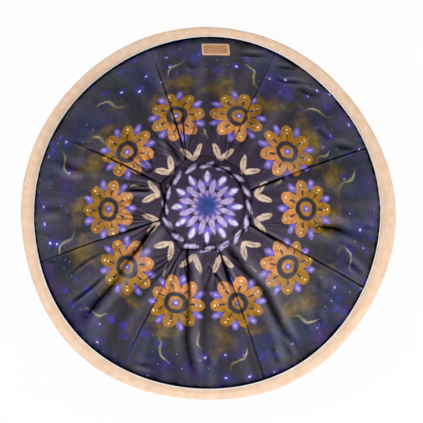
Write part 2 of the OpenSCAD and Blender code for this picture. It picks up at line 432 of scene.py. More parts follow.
def new_material(name):
    """A node material; returns it with its tree and its shader."""
    material = bpy.data.materials.new(name)
    material.use_nodes = True
    tree = material.node_tree
    return material, tree, tree.nodes["Principled BSDF"]


def round_turn(tree, point):
    """Turn of a point round the Z axis."""
    parts = node(tree, "SeparateXYZ", {0: point}).node.outputs
    return node(tree, "Math", {0: parts[1], 1: parts[0]}, operation="ARCTAN2")


def uneven(tree, paint, pattern, low, high):
    """A colour that a pattern of noise makes darker and paler, from low to high of itself."""
    depth = node(tree, "MapRange", {0: pattern, 1: 0.3, 2: 0.7, 3: low, 4: high})
    return node(tree, "VectorMath", {0: paint, "Scale": depth}, operation="SCALE")


# ---------------------------------------------------------------- shape of the dome


class Dome:
    """The upper dome: a crown, a tighter shoulder and a flat flange, with the ding on top."""

    def __init__(self, gap=0.0, bridge=0.0):
        s = settings().shell
        self.foot_r = RIM_R - s.flange_w
        self.ding_h = s.ding_h
        self.ding_slope = math.asin((s.ding_r + bridge) / s.crown_r)
        self.crown_r = s.crown_r + gap
        self.shoulder_r = s.shoulder_r + gap
        self.edge_slope = s.shoulder_slope
        reach = s.crown_r - s.shoulder_r
        self.shoulder_c = (reach * math.sin(s.shoulder_slope), reach * math.cos(s.shoulder_slope))
        foot_slope = math.asin((self.foot_r - self.shoulder_c[0]) / s.shoulder_r)
        foot_rise = self.shoulder_c[1] + s.shoulder_r * math.cos(foot_slope)
        self.foot_slope = foot_slope
        self.crown_z = BOND_TOP + s.steel_t - foot_rise
        self.flange_z = BOND_TOP + s.steel_t + gap
        # The surface lands on the flange where it is the gap above it
        landing = math.acos((foot_rise - self.shoulder_c[1] + gap) / self.shoulder_r)
        self.landing_r = self.shoulder_c[0] + self.shoulder_r * math.sin(landing)
        self.crown_end_r = self.crown_r * math.sin(self.edge_slope)

    def height(self, r):
        """Height of the surface at a distance from the axis."""
        if r >= self.landing_r:
            return self.flange_z
        if r >= self.crown_end_r:
            rise = math.sqrt(self.shoulder_r**2 - (r - self.shoulder_c[0]) ** 2)
            return self.crown_z + self.shoulder_c[1] + rise
        ding = self.ding_h * hill(math.asin(r / self.crown_r) / self.ding_slope)
        return self.crown_z + math.sqrt(self.crown_r**2 - r * r) + ding

    def slope(self, r):
        """Slope of the surface's normal from the axis, the ding left aside."""
        if r >= self.landing_r:
            return 0.0
        if r >= self.crown_end_r:
            return math.asin((r - self.shoulder_c[0]) / self.shoulder_r)
        return math.asin(r / self.crown_r)

    def reach(self, r):
        """Distance from the axis along the surface, the ding left aside."""
        if r < self.crown_end_r:
            return self.crown_r * self.slope(r)
        on_shoulder = math.asin((min(r, self.landing_r) - self.shoulder_c[0]) / self.shoulder_r)
        run = self.crown_r * self.edge_slope + self.shoulder_r * (on_shoulder - self.edge_slope)
        return run + max(r - self.landing_r, 0.0)

    def at(self, r, angle, off=0.0):
        """A point of the surface, moved off it along its normal."""
        slope = self.slope(r)
        flat = polar(r + off * math.sin(slope), angle)
        return Vector((flat.x, flat.y, self.height(r) + off * math.cos(slope)))


# ---------------------------------------------------------------- steel


def nitrided_steel():
    """Gas-nitrided deep-drawn steel, hand-hammered and oiled.

    The nitride layer gives a dark bronze and blue-grey bloom with a satin gloss, in soft
    clouds of tint from the oven, over faint dents from the hammer.
    """
    f = settings().finish
    material, tree, shader = new_material("nitrided_steel")
    place = node(tree, "TexCoord", out="Object")
    # Clouds of oven tint are about 120 mm across
    clouds = node(tree, "TexNoise", {"Vector": place, "Scale": 8.0, "Detail": 3.0})
    tint = node(tree, "MapRange", {0: clouds, 1: 0.34, 2: 0.66}, **EASED)
    tinted = node(tree, "Mix", {0: tint, 6: f.bronze, 7: f.steel_blue}, **BLEND)
    # Wiping with oil leaves streaks about 4 mm apart
    streaks = node(tree, "TexNoise", {"Vector": place, "Scale": 240.0, "Detail": 4.0})
    rough = node(tree, "MapRange", {0: streaks, 1: 0.3, 2: 0.7, 3: 0.3, 4: 0.42})
    # Hammer marks are about 15 mm across and a few tenths deep
    marks = node(tree, "TexNoise", {"Vector": place, "Scale": 65.0, "Detail": 1.0})
    dents = node(tree, "Bump", {"Height": marks, "Distance": 0.4 * MM, "Strength": 0.35})
    surface = {"Base Color": tinted, "Metallic": 1.0, "Roughness": rough, "Normal": dents}
    fill(tree, shader, surface)
    return material


def ball_radius(half_w, height):
    """Radius of the ball whose cap has that half width and height."""
    return (half_w**2 + height**2) / (2 * height)


def pressed(dome, point):
    """A point of the upper dome, moved in to the tone field or dimple pressed there."""
    s = settings().shell
    centre = Vector((0, 0, dome.crown_z))
    ray = (point - centre).normalized()
    reach = (point - centre).length
    tilt = math.asin(s.field_ring_r / s.crown_r)
    for i in range(s.fields):
        # Fields run from low to high in turn to the left and right of the player
        rank = 2 * i if i < s.fields / 2 else 2 * (s.fields - 1 - i) + 1
        half_w = (s.field_low_d + (s.field_high_d - s.field_low_d) * rank / (s.fields - 1)) / 2
        flat = polar(math.sin(tilt), math.tau * (i + 0.5) / s.fields - math.pi / 2)
        out = Vector((flat.x, flat.y, math.cos(tilt)))
        if ray.angle(out) * s.crown_r > 1.5 * half_w:
            continue
        cap = s.crown_r - math.sqrt(s.crown_r**2 - half_w**2) - s.field_dip
        ball = ball_radius(half_w, cap)
        along = ray.dot(out) * (s.crown_r - s.field_dip - ball)
        off = (s.crown_r - s.field_dip - ball) ** 2 - along**2
        reach = min(reach, along + math.sqrt(ball**2 - off))
        ball = ball_radius(half_w * s.dimple_share, s.dimple_depth)
        middle = s.crown_r - s.field_dip - s.dimple_depth + ball
        along = ray.dot(out) * middle
        inside = ball**2 - middle**2 + along**2
        if inside > 0:
            reach = min(reach, along - math.sqrt(inside))
    return centre + ray * reach


class HANDPAN_OT_steel_shells(bpy.types.Operator):
    """Press the upper shell with its ding and tone fields, and the lower shell with its port"""

    bl_idname = "handpan.steel_shells"
    bl_label = "Steel shells"

    def execute(self, context):
        s = settings().shell
        dome = Dome()
        pressed_steel = ("instrument", "nitrided_steel", nitrided_steel())
        flange = [dome.foot_r + s.flange_w * i / 4 for i in range(5)]
        radii = [dome.foot_r * i / 84 for i in range(84)]
        bm = spun([(r, dome.height(r)) for r in radii] + [(r, dome.flange_z) for r in flange], 12)
        for v in bm.verts:
            if v.co.to_2d().length < 0.97 * dome.foot_r:
                v.co = pressed(dome, v.co)
        facing_up(bm)
        upper = finished("upper_shell_steel", bm, *pressed_steel, "upper_shell")

        down = math.pi
        roll = s.lip_r + s.steel_t
        roll_c = (s.port_r + roll, roll)
        roll_slope = math.asin(roll_c[0] / (s.crown_r - roll))
        crown_end = down - s.shoulder_slope
        crown_z = roll + (s.crown_r - roll) * math.cos(roll_slope)
        shoulder_c = (dome.shoulder_c[0], crown_z - dome.shoulder_c[1])
        line = [(s.port_r, roll + s.neck_h * i / 8) for i in range(8, 0, -1)]
        line += arc(roll_c, roll, 1.5 * down, down - roll_slope, 14)
        line += arc((0, crown_z), s.crown_r, down - roll_slope, crown_end, 30)[1:]
        line += arc(shoulder_c, s.shoulder_r, crown_end, down - dome.foot_slope, 12)[1:]
        line += [(r, BOND_BOTTOM - s.steel_t) for r in flange[1:]]
        bm = spun(line, 10)
        facing_up(bm, -1)
        lower = finished("lower_shell_steel", bm, *pressed_steel, "lower_shell")
        for shell in (upper, lower):
            wall = shell.modifiers.new("wall", "SOLIDIFY")
            wall.thickness = s.steel_t
            wall.offset = -1
        return {"FINISHED"}


# ---------------------------------------------------------------- relief of the cloth


class Fold:
    """A long fold of the cloth, along a broken line in the plan."""

    def __init__(self, half_w, depth, *points):
        self.half_w = half_w * MM
        self.depth = depth * MM
        self.line = [polar(r * MM, math.radians(angle)) for r, angle in points]
        self.runs = [b - a for a, b in zip(self.line, self.line[1:])]
        self.length = sum(run.length for run in self.runs)
        self.middle = (self.line[0] + self.line[-1]) / 2
        self.reach = self.length / 2 + 4 * self.half_w
        # Folds that start at the middle are deep from their first point on
        self.start = 0.5 if points[0][0] < 100 else 0.0
        self.lead = min(0.4 * self.length, 30 * MM)
        self.tail = min(0.45 * self.length, 35 * MM)
        self.soft = 0.72 if half_w > 3 else 0.95
        self.fine = 1.0 / half_w
        # Shallow and short folds hardly darken
        self.strength = min(depth / 1.5, 1.0) * min(0.4 + self.length / (90 * MM), 1.0)

    def relief(self, place):
        """Height, and painted shade and highlight, that the fold gives a place of the plan."""
        if (place - self.middle).length > self.reach:
            return 0.0, 0.0
        nearest, gone = math.inf, 0.0
        for start, run in zip(self.line, self.runs):
            aside = place - start
            share = min(max(aside.dot(run) / run.length_squared, 0.0), 1.0)
            off = (aside - share * run).length
            if off < nearest:
                nearest = off
                x = math.copysign(off, run.cross(aside)) / self.half_w
                along = gone + share * run.length
            gone += run.length
        size = smooth(along / self.lead + self.start) * smooth((self.length - along) / self.tail)
        height = size * self.depth * (0.6 * bell(x - 2) + 0.35 * bell(x + 2) - bell(x))
        # Painted shade: broad folds hold a wide soft shade with a fine dark line in it
        dark = self.soft * bell(x / 1.1) + (0.95 - self.soft) * bell(x / self.fine)
        # Painted highlight on the ridges on both sides of the fold
        dark -= 0.85 * bell((x - 2.4) / 1.2) + 0.3 * bell((x + 2.5) / 1.3)
        return height, size * dark * self.strength


class Dart:
    """A sewn dart, and the crease that runs from its inner end to the next dart's."""

    def __init__(self, start, inner, outer, depth, rim_share, pull, sharp, bow):
        self.start = start * MM
        self.inner = math.radians(inner)
        self.outer = math.radians(outer)
        self.corner = polar(self.start, self.inner)
        self.depth = depth
        self.rim_share = rim_share
        self.pull = pull
        self.sharp = sharp
        self.bow = bow * MM

    def turn(self, r):
        """Its turn at a radius; it bends a little towards its inner end."""
        r = max(r, self.start)
        bend = max(self.start / r * (PANEL_R - r) / (PANEL_R - self.start), 0.0) ** 1.5
        return self.outer + (self.inner - self.outer) * bend


class Cloth:
    """The stretched cloth: its smooth form, and the darts, folds and creases on it."""

    COLUMNS_PER_GORE = 81

    def __init__(self):
        self.c = settings().cover
        self.form = Dome(self.c.gap, self.c.bridge_w)
        self.darts = [Dart(*dart) for dart in DARTS]
        self.folds = [Fold(*fold) for fold in FOLDS]
        # The cloth is cut flat as a disc this wide
        self.width = 2 * self.form.reach(PANEL_R)

    def rings(self):
        """Radii of the rings, closer together round the ding and the darts' inner ends."""
        near, far = self.c.ding_edge_r - 9 * MM, 84 * MM
        edge = PANEL_R - 2 * MM
        inner = [near * i / 14 for i in range(14)]
        middle = [near + (far - near) * i / 36 for i in range(36)]
        return inner + middle + [far + (edge - far) * i / 96 for i in range(97)]

    def dart_turn(self, k, r):
        """Turn of dart k at a radius, counted on past the last one."""
        lap, k = divmod(k, len(self.darts))
        return self.darts[k].turn(r) + math.tau * lap

    def column_turn(self, column, r):
        """Turn of a column of the mesh at a radius; columns follow the darts and crowd there."""
        gore, step = divmod(column, self.COLUMNS_PER_GORE)
        share = step / self.COLUMNS_PER_GORE
        crowd = sum(0.28 * math.sin(math.tau * k * share) / (math.tau * k) for k in (1, 2, 3))
        start = self.dart_turn(gore, r)
        return start + (self.dart_turn(gore + 1, r) - start) * (share - crowd)

    def grooves(self, r, gore, angle):
        """Grooves of the darts on both sides of a gore, with the cloth rounded up beside them."""
        height, shade = 0.0, 0.0
        for k in (gore, gore + 1):
            which = k % len(self.darts)
            dart = self.darts[which]
            across = r * abs(turned(angle, self.dart_turn(k, r)))
            drawn = dart.depth * smooth((r - dart.start + 3 * MM) / (5 * MM))
            drawn *= 1 - (1 - dart.rim_share) * smooth((r - FADE_R) / FADE_W)
            # The thread pulls harder in some places than in others
            pull = 0.8 + 0.5 * noise.noise((r / (16 * MM), 5.3 * which, 0))
            groove = drawn * bell(across / self.c.dart_half_w)
            beside = 0.4 * pull * bell((across - 3.5 * MM) / (2.2 * MM))
            height += drawn * self.c.dart_depth * beside
            height -= self.c.dart_depth * groove
            # Painted shade in the groove, and a painted highlight on the cloth rounded up beside
            # it
            shade += groove - 0.25 * drawn * bell((across - 3 * MM) / (1.5 * MM))
        return height, shade

    def fans(self, place):
        """Fine folds that fan out of the darts' inner ends, as far as the cloth is drawn there."""
        height, shade = 0.0, 0.0
        for k, dart in enumerate(self.darts):
            offset = place - dart.corner
            reach = (16 + 34 * dart.pull) * MM
            if offset.length > 2.4 * reach or offset.length < 0.5 * MM:
                continue
            aside = turned(math.atan2(offset.y, offset.x), dart.inner)
            if abs(aside) > 1.4:
                continue
            uneven = noise.noise((3.1 * aside, 3.1 * k, 0.4))
            swing = math.cos(29 * aside + 1.7 * k + 5 * noise.noise((1.6 * aside, 3.1 * k, 7.0)))
            size = dart.pull * smooth(offset.length / (9 * MM)) * bell(offset.length / reach - 0.2)
            size *= hill(aside / 1.4) * (0.75 + 0.9 * uneven)
            height += self.c.fan_h * size * (0.5 + 0.5 * swing)
            # Painted shade in the valleys of the fans, and a painted highlight on their ridges
            shade += size * (1.6 * max(0.0, -swing) ** 2 - 0.3 * max(0.0, swing))
        return height, shade

    def middle(self, r, gore, angle, place):
        """The raised eight-sided middle with its crease, and the crease round the ding."""
        c = self.c
        dart, start = self.darts[gore], self.darts[gore].corner
        side = self.darts[(gore + 1) % len(self.darts)].corner - start
        share = (place - start).dot(side) / side.length_squared
        out = -side.normalized().cross(place - start) - dart.bow * hill(2 * share - 1)
        on_side = dart.sharp * bell(out / (1.6 * MM))
        # The ding's crease is sharpest to the upper right and to the left
        sharp = 0.4 + 0.6 * max(hill(turned(angle, 0.9) / 1.6), hill(turned(angle, 3.1) / 1.3))
        away = (place + Vector((c.ding_edge_off, 0))).length - c.ding_edge_r
        ring = sharp * bell(away / (2.0 * MM))
        height = 1.1 * MM * smooth(-away / (5 * MM)) + 0.8 * MM * smooth(-out / (5 * MM))
        # Short puckers lie between the two creases, most of all at the near side
        drawn_in = 0.3 + 0.7 * hill(turned(angle, math.radians(258)))
        between = hill((r - 58 * MM) / (13 * MM))
        pucker = drawn_in * between * math.cos(40 * angle + 5 * noise.noise((7 * angle, 0, 0)))
        height += 0.8 * MM * pucker - 1.1 * MM * on_side - 1.2 * MM * ring
        # Painted shade in both creases and in the puckers' hollows, and a painted highlight on the
        # puckers
        shade = 0.95 * on_side + ring + 0.7 * max(0.0, -pucker) ** 2 - 0.25 * max(0.0, pucker)
        # Outside the ding's crease the cloth hangs in shade on the side away from the player
        shade += 0.35 * sharp * smooth(away / (2 * MM)) * smooth(-out / (4 * MM))
        return height, shade

    def relief(self, r, gore, angle, edge_r):
        """Height over the smooth form, and the painted shade and highlight of the cloth, at a
        radius and a turn.
        """
        place = polar(r, angle)
        parts = [self.grooves(r, gore, angle), self.middle(r, gore, angle, place)]
        if r > 0.9 * self.c.ding_edge_r:
            parts += [self.fans(place), *(fold.relief(place) for fold in self.folds)]
        height = sum(part[0] for part in parts)
        shade = sum(part[1] for part in parts)
        wide = noise.noise((place.x / (45 * MM), place.y / (45 * MM), 0.7))
        # Slack runs out from the middle in low waves, about 20 mm wide, with finer ones on them
        slack = noise.noise((9 * math.cos(angle), 9 * math.sin(angle), r / (90 * MM)))
        slack += 0.6 * noise.noise((21 * math.cos(angle), 21 * math.sin(angle), r / (55 * MM)))
        slack *= smooth((r - 70 * MM) / (40 * MM))
        height += (0.5 * wide + 0.9 * slack) * MM
        # Painted shade in the hollows of the slack, and a painted highlight on its rises
        shade += 0.4 * max(0.0, -slack) - 0.45 * max(0.0, slack)
        # The seam under the band gathers the cloth a little, and draws it down
        seam = smooth(1 - (edge_r - r) / (12 * MM))
        gather = math.sin(110 * angle + 4 * noise.noise((7 * angle, 0, 2)))
        height += 0.4 * MM * seam * gather
        # Painted shade where the cloth runs in under the band's edge and piping, and in the seam's
        # gathers
        shade += smooth(1.2 - (edge_r - self.c.piping_d - r) / (3.5 * MM))
        shade += seam * (0.25 + 0.35 * gather)
        # The cloth lies still under the tag
        tag = polar(self.c.tag_ring_r, self.c.tag_turn)
        free = smooth((place - tag).length / (0.6 * self.c.tag_w) - 0.4)
        height = max(height * free, 0.2 * MM - self.c.gap - self.c.lift + self.c.cloth_t)
        stand_off = self.c.lift * smooth((edge_r - 3 * MM - r) / (25 * MM))
        return height + stand_off, min(max(shade * free, -0.8), 1.0)

    def print_turn(self, gore, r, angle):
        """Turn of a point in the flat print, some of which is folded away in each dart."""
        start, end = self.dart_turn(gore, r), self.dart_turn(gore + 1, r)
        share = turned(angle, (start + end) / 2) / (end - start) + 0.5
        folded = self.c.dart_take_up * smooth((r - self.darts[gore].start) / (40 * MM))
        return start + folded / 2 + share * (end - start - folded)


# ---------------------------------------------------------------- printed cloth


def around(tree, point, count, first=0.0):
    """The point, turned into the wedge of the nearest of count motifs, the first at a turn."""
    angle = round_turn(tree, point)
    aside = node(tree, "Math", {0: angle, 1: first}, operation="SUBTRACT")
    half = math.pi / count
    wedge = node(tree, "Math", {0: aside, 1: half, 2: -half}, operation="WRAP")
    back = node(tree, "Math", {0: wedge, 1: angle}, operation="SUBTRACT")
    return node(tree, "VectorRotate", {"Vector": point, "Angle": back}, rotation_type="Z_AXIS")


def moved(tree, point, along, lean=0.0):
    """The point, seen from a place along the wedge and leaning aside."""
    aside = node(tree, "VectorMath", {0: point, 1: (along, 0, 0)}, operation="SUBTRACT")
    if not lean:
        return aside
    return node(tree, "VectorRotate", {"Vector": aside, "Angle": lean}, rotation_type="Z_AXIS")


def oval(tree, point, along, half_l, half_w, soft):
    """Mask of a painted oval along the wedge: 1 inside, 0 outside, with a soft edge."""
    aside = moved(tree, point, along)
    scaled = node(tree, "VectorMath", {0: aside, 1: (half_l, half_w, 1)}, operation="DIVIDE")
    share = node(tree, "VectorMath", {0: scaled}, out="Value", operation="LENGTH")
    return node(tree, "MapRange", {0: share, 1: 1.0, 2: 1.0 - soft}, **EASED)


def ovals(tree, rows):
    """Layers of painted ovals, as (mask, colour); a row is what oval() takes, then its colour."""
    return [(oval(tree, *shape), paint) for *shape, paint in rows]


def band_of(tree, distance, start, full, end, gone):
    """Mask of a ring of distances, rising from start to full and falling from end to gone."""
    rise = node(tree, "MapRange", {0: distance, 1: start, 2: full}, **EASED)
    fall = node(tree, "MapRange", {0: distance, 1: gone, 2: end}, **EASED)
    return node(tree, "Math", {0: rise, 1: fall}, operation="MULTIPLY")


def stroke(tree, point, half_l, half_w, sway, pitch):
    """Mask of a wavy painted stroke along Y, and how far along it the point lies, -1 to 1."""
    parts = node(tree, "SeparateXYZ", {0: point}).node.outputs
    phase = node(tree, "Math", {0: parts[1], 1: math.tau / pitch}, operation="MULTIPLY")
    sine = node(tree, "Math", {0: phase}, operation="SINE")
    wave = node(tree, "Math", {0: sine, 1: sway}, operation="MULTIPLY")
    off = node(tree, "Math", {0: parts[0], 1: wave}, operation="SUBTRACT")
    across = node(tree, "Math", {0: off, 1: half_w}, operation="DIVIDE")
    along = node(tree, "Math", {0: parts[1], 1: half_l}, operation="DIVIDE")
    both = node(tree, "CombineXYZ", {0: along, 1: across})
    share = node(tree, "VectorMath", {0: both}, out="Value", operation="LENGTH")
    mask = node(tree, "MapRange", {0: share, 1: 1.0, 2: 0.5}, **EASED)
    return mask, along


def cloud(tree, point, seed, scale, ring, low=0.42, high=0.66):
    """Mask of soft clouds within a ring."""
    shifted = moved(tree, point, seed)
    noisy = node(tree, "TexNoise", {"Vector": shifted, "Scale": scale, "Detail": 3.0})
    mask = node(tree, "MapRange", {0: noisy, 1: low, 2: high}, **EASED)
    return node(tree, "Math", {0: mask, 1: ring}, operation="MULTIPLY")


def ground_layers(tree, point, distance):
    """Clouds of navy, violet, teal and olive over the charcoal ground, as (mask, colour)."""
    p = settings().print_colours
    outside = band_of(tree, distance, 0.17, 0.22, 0.5, 0.6)
    haze = band_of(tree, distance, 0.155, 0.175, 0.19, 0.225)
    rim = band_of(tree, distance, 0.19, 0.225, 0.5, 0.6)
    # Clouds are 55 to 85 mm across, and about half that in the haze and near the rim
    middle = oval(tree, point, 0, 0.135, 0.135, 0.35)
    return [
        (middle, p.shade),
        (cloud(tree, point, 0.0, 14.0, outside), p.navy),
        (cloud(tree, point, 3.0, 18.0, outside, 0.48, 0.7), p.deep_violet),
        (cloud(tree, point, 5.0, 12.0, outside, 0.5, 0.75), p.teal),
        (cloud(tree, point, 7.0, 24.0, haze, 0.46, 0.7), p.olive),
        (cloud(tree, point, 9.0, 26.0, rim, 0.59, 0.8), p.rim_blue),
        (cloud(tree, point, 13.0, 30.0, rim, 0.59, 0.8), p.rim_violet),
    ]


def vine_layers(tree, point):
    """Wavy vines, olive at one end and cream at the other, as (mask, colour)."""
    p = settings().print_colours
    layers = []
    # Distance, lean, copies round, first turn, half length, half width, sway and pitch
    for along, lean, count, first, *shape in (
        (0.214, 0.95, 6, 0.20, 0.034, 0.0030, 0.0042, 0.046),
        (0.230, -0.75, 6, 0.72, 0.030, 0.0027, 0.0036, 0.040),
        (0.186, 1.25, 3, 0.45, 0.020, 0.0026, 0.0034, 0.036),
        (0.103, 1.05, 5, 0.33, 0.011, 0.0021, 0.0012, 0.022),
    ):
        local = moved(tree, around(tree, point, count, first), along, lean)
        mask, share = stroke(tree, local, *shape)
        tone = node(tree, "MapRange", {0: share, 1: -0.6, 2: 1.2})
        shades = {0: tone, 6: p.leaf, 7: p.vine_light}
        full = node(tree, "MapRange", {0: share, 1: -1.0, 2: 0.6, 3: 0.4, 4: 0.9})
        thin = node(tree, "Math", {0: mask, 1: full}, operation="MULTIPLY")
        layers.append((thin, node(tree, "Mix", shades, **BLEND)))
    return layers


def blossom_layers(tree, point, distance):
    """A ring of ten golden seven-petalled blossoms with violet drops, as (mask, colour)."""
    p = settings().print_colours
    middle = moved(tree, around(tree, point, 10), 0.139)
    petal = around(tree, middle, 7)
    drop = around(tree, middle, 7, math.pi / 7)
    # Petals are peach towards the middle of the cloth and ochre away from it
    fade = node(tree, "MapRange", {0: distance, 1: 0.113, 2: 0.152}, **EASED)
    gold = node(tree, "Mix", {0: fade, 6: p.peach, 7: p.ochre}, **BLEND)
    rows = (
        (middle, 0, 0.046, 0.046, 0.5, p.shade),
        (petal, 0.0245, 0.0165, 0.0108, 0.14, gold),
        (petal, 0.0235, 0.0095, 0.0023, 0.8, p.charcoal),
        (petal, 0.0335, 0.0021, 0.0021, 0.5, p.gold_dot),
        (petal, 0.0280, 0.0014, 0.0014, 0.5, p.gold_dot),
        (drop, 0.0345, 0.0090, 0.0056, 0.3, p.violet),
        (drop, 0.0355, 0.0046, 0.0024, 0.6, p.lilac),
        (middle, 0, 0.0172, 0.0172, 0.12, p.charcoal),
        (middle, 0, 0.0104, 0.0104, 0.15, gold),
        (middle, 0, 0.0054, 0.0054, 0.3, p.violet),
        (middle, 0, 0.0022, 0.0022, 0.6, p.pale),
    )
    return ovals(tree, rows)


def rosette_layers(tree, point):
    """A lilac rosette with a blue heart, a wreath and cream leaves, as (mask, colour)."""
    p = settings().print_colours
    first = around(tree, point, 12)
    between = around(tree, point, 12, math.pi / 12)
    wreath = moved(tree, around(tree, point, 16), 0.0570, math.pi / 2 - 0.35)
    rows = [
        (first, 0.0370, 0.0125, 0.0062, 0.3, p.violet),
        (first, 0.0405, 0.0092, 0.0036, 0.45, p.pale),
        (between, 0.0270, 0.0130, 0.0046, 0.35, p.lilac),
        (point, 0, 0.0215, 0.0215, 0.5, p.violet),
        (first, 0.0165, 0.0060, 0.0028, 0.6, p.lilac),
        (point, 0, 0.0205, 0.0205, 0.7, p.blue),
        (wreath, 0, 0.0122, 0.0040, 0.3, p.lilac),
        (wreath, 0, 0.0090, 0.0018, 0.6, p.pale),
    ]
    for lean in (0.6, -0.6):
        leaf = moved(tree, between, 0.0670, lean)
        rows.append((leaf, 0.0125, 0.0145, 0.0047, 0.25, p.cream))
        rows.append((leaf, 0.0165, 0.0100, 0.0012, 0.9, p.umber))
    return ovals(tree, rows)


def dot_layers(tree, point, distance):
    """Loose pale dots and dim blue rounds over the outer ground, as (mask, colour)."""
    p = settings().print_colours
    layers = []
    ring = band_of(tree, distance, 0.185, 0.21, 0.5, 0.6)
    # Each cell, 26 to 42 mm across, holds a round 13 to 15 mm wide or a dot 2 to 5 mm wide
    for scale, seed, paint, edge, full, patch in (
        (24.0, 2.0, p.glow, 0.21, 0.10, 9.0),
        (26.0, 0.0, p.glow, 0.25, 0.12, 12.0),
        (26.0, 0.0, p.pale, 0.070, 0.046, 12.0),
        (38.0, 4.0, p.lilac, 0.050, 0.02, 20.0),
    ):
        patches = cloud(tree, point, 11.0, patch, ring, 0.46, 0.6)
        shifted = moved(tree, point, seed)
        grid = {"Vector": shifted, "Scale": scale}
        cells = node(tree, "TexVoronoi", grid, voronoi_dimensions="2D")
        dot = node(tree, "MapRange", {0: cells, 1: edge, 2: full}, **EASED)
        mask = node(tree, "Math", {0: dot, 1: patches}, operation="MULTIPLY")
        layers.append((mask, paint))
    return layers


def printed_cloth(width):
    """Brushed polyester stretch knit, dye-printed; the print is laid out on its flat cut.

    It has a soft satin sheen, dull colours under the nap, and a fine knit that shows close
    to. The print is a plain floral rosette of blossoms, leaves and dots on a dark ground.
    """
    p = settings().print_colours
    material, tree, shader = new_material("printed_stretch_knit")
    flat = node(tree, "UVMap", uv_map="cloth")
    off_x, off_y = settings().cover.print_shift
    corner = (-width / 2 - off_x, -width / 2 - off_y, 0)
    place = node(tree, "Mapping", {"Vector": flat, "Location": corner, "Scale": (width, width, 1)})
    # The dye bleeds a millimetre or so into the knit, so painted edges waver
    bleed = node(tree, "TexNoise", {"Vector": place, "Scale": 90.0, "Detail": 2.0}, out="Color")
    centred = node(tree, "VectorMath", {0: bleed, 1: (0.5, 0.5, 0.5)}, operation="SUBTRACT")
    waver = node(tree, "VectorMath", {0: centred, "Scale": 5 * MM}, operation="SCALE")
    wavering = node(tree, "VectorMath", {0: place, 1: waver}, operation="ADD")
    point = node(tree, "VectorMath", {0: wavering, 1: (1, 1, 0)}, operation="MULTIPLY")
    distance = node(tree, "VectorMath", {0: point}, out="Value", operation="LENGTH")

    layers = ground_layers(tree, point, distance)
    layers += dot_layers(tree, point, distance)
    layers += vine_layers(tree, point)
    layers += blossom_layers(tree, point, distance)
    layers += rosette_layers(tree, point)
    dye = p.charcoal
    for mask, paint in layers:
        dye = node(tree, "Mix", {0: mask, 6: dye, 7: paint}, **BLEND)

    # Brush strokes of the painting, 3 to 10 mm long, vary the depth of the dye
    strokes = node(tree, "TexNoise", {"Vector": place, "Scale": 130.0, "Detail": 4.0})
    depth = node(tree, "MapRange", {0: strokes, 1: 0.25, 2: 0.75, 3: 0.5, 4: 1.34})
    dyed = node(tree, "VectorMath", {0: dye, "Scale": depth}, operation="SCALE")
    # Painted shade: creases are darkened and dulled in their depth. Painted highlight: the ridges
    # beside them are lightened towards the nap colour
    crease = node(tree, "Attribute", out="Fac", attribute_name="crease")
    lit = node(tree, "MapRange", {0: crease, 1: 0.0, 2: 0.9, 3: 1.0, 4: 0.03})
    in_crease = node(tree, "VectorMath", {0: dyed, "Scale": lit}, operation="SCALE")
    painted_ridge_highlight = node(tree, "MapRange", {0: crease, 1: 0.0, 2: -0.8, 3: 0.0, 4: 0.32})
    highlighted = node(tree, "Mix", {0: painted_ridge_highlight, 6: in_crease, 7: p.nap}, **BLEND)

    # Loops of the knit, drawn 1.8 mm apart, as coarse as they need to be to show
    loops = {"Vector": place, "Scale": 175.0, "Distortion": 0.6}
    rows = node(tree, "TexWave", loops, out="Fac")
    columns = node(tree, "TexWave", loops, out="Fac", bands_direction="Y")
    knit = node(tree, "Math", {0: rows, 1: columns}, operation="MULTIPLY")
    # Under them the cloth is rumpled every 18 mm or so
    rumple = node(tree, "TexNoise", {"Vector": place, "Scale": 55.0, "Detail": 3.0})
    soft = node(tree, "Bump", {"Height": rumple, "Distance": 0.8 * MM, "Strength": 0.35})
    fine = {"Height": knit, "Distance": 0.06 * MM, "Strength": 0.5, "Normal": soft}
    surface = {
        "Base Color": highlighted,
        "Roughness": 0.5,
        # Painted shade: the gloss and the sheen fade out in the creases
        "Specular IOR Level": node(tree, "Math", {0: lit, 1: 0.26}, operation="MULTIPLY"),
        "Sheen Weight": node(tree, "Math", {0: lit, 1: 0.05}, operation="MULTIPLY"),
        "Sheen Roughness": 0.4,
        "Sheen Tint": "B4B8D8",
        "Normal": node(tree, "Bump", fine),
    }
    fill(tree, shader, surface)
    return material


